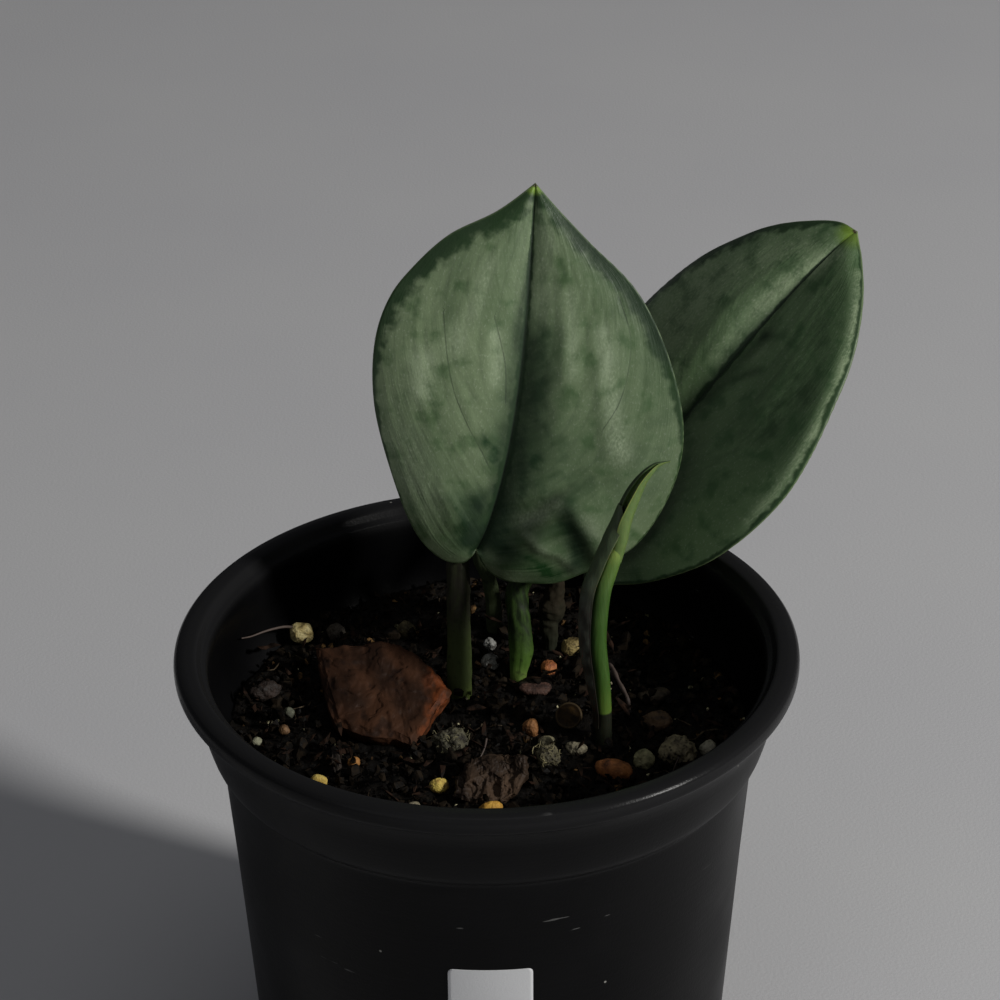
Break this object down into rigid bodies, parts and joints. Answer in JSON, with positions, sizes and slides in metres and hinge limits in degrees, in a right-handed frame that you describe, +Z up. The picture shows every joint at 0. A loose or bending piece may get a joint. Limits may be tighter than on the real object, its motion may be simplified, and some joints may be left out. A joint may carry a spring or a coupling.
{
  "type": "potted moonlight scindapsus plant",
  "caption": "Small aroid house plant: broad silver leaf, darker leaf behind it and a rolled new shoot, in gritty bark mix in a round black nursery pot with a flared collar.",
  "frame": {"origin": "centre of the pot's base, on the surface that it stands on", "axes": "+Z up along the pot's axis; the silver leaf faces -Y, and +X is to the right as it is looked at"},
  "size_m": [0.1336, 0.1221, 0.1868],
  "materials": {
    "pot_plastic": "satin black moulded plastic with fine scuffs",
    "label_paper": "blank matt white sticker",
    "potting_mix": "damp dark bark fines and grit",
    "leaf_silver": "silver green blade with a dark midrib and a satin sheen",
    "leaf_dark": "dark green blade with silver beside the midrib, satin",
    "leaf_stalk": "dull green leaf stalk with a faint sheen",
    "old_stem_bark": "dry olive brown skin",
    "shoot_green": "fresh green, smooth, with a grey sheath margin",
    "root_skin": "thin pinkish brown root skin",
    "bark": "red brown broken bark, matt",
    "pumice": "pale porous stone, matt",
    "pebble": "small clay and grit pebbles, yellow to brown, matt"
  },
  "bodies": {
    "root": {"pot": "pot_plastic", "pot_label": "label_paper", "potting_mix": "potting_mix", "leaf_front": "leaf_silver", "leaf_rear": "leaf_dark", "petiole_front": "leaf_stalk", "petiole_rear": "leaf_stalk", "old_stalk": "old_stem_bark", "old_stem": "old_stem_bark", "new_shoot": "shoot_green", "rolled_leaf": "shoot_green", "surface_root": "root_skin", "bark_large": "bark", "bark_front": "bark", "pale_tuft": "pumice", "pumice_right": "pumice", "pebble_greenish": "pebble", "pebble_clay": "pebble", "stone_back_left": "pumice", "lump_back_left": "pebble", "pebble_olive": "pebble", "lump_left": "pebble", "pale_tuft_small": "pumice", "pebble_pale_left": "pebble", "pebble_pale_right": "pebble", "seed_husk": "bark", "pebble_orange_middle": "pebble", "pebble_orange_back": "pebble", "pebble_yellow_back": "pebble", "pebble_brown_right": "pebble", "chip_right": "bark", "pebble_white_right": "pebble", "pebble_yellow_left": "pebble", "pebble_orange_left": "pebble", "stick_left": "bark", "pebble_yellow_front": "pebble", "pebble_yellow_bottom": "pebble", "bark_chip_back": "bark", "crystal_back": "pebble", "crystal_front": "pebble", "pebble_tan_left": "pebble", "pebble_grey_left": "pebble", "pebble_white_left": "pebble", "pebble_pale_front": "pebble"}
  },
  "joints": []
}
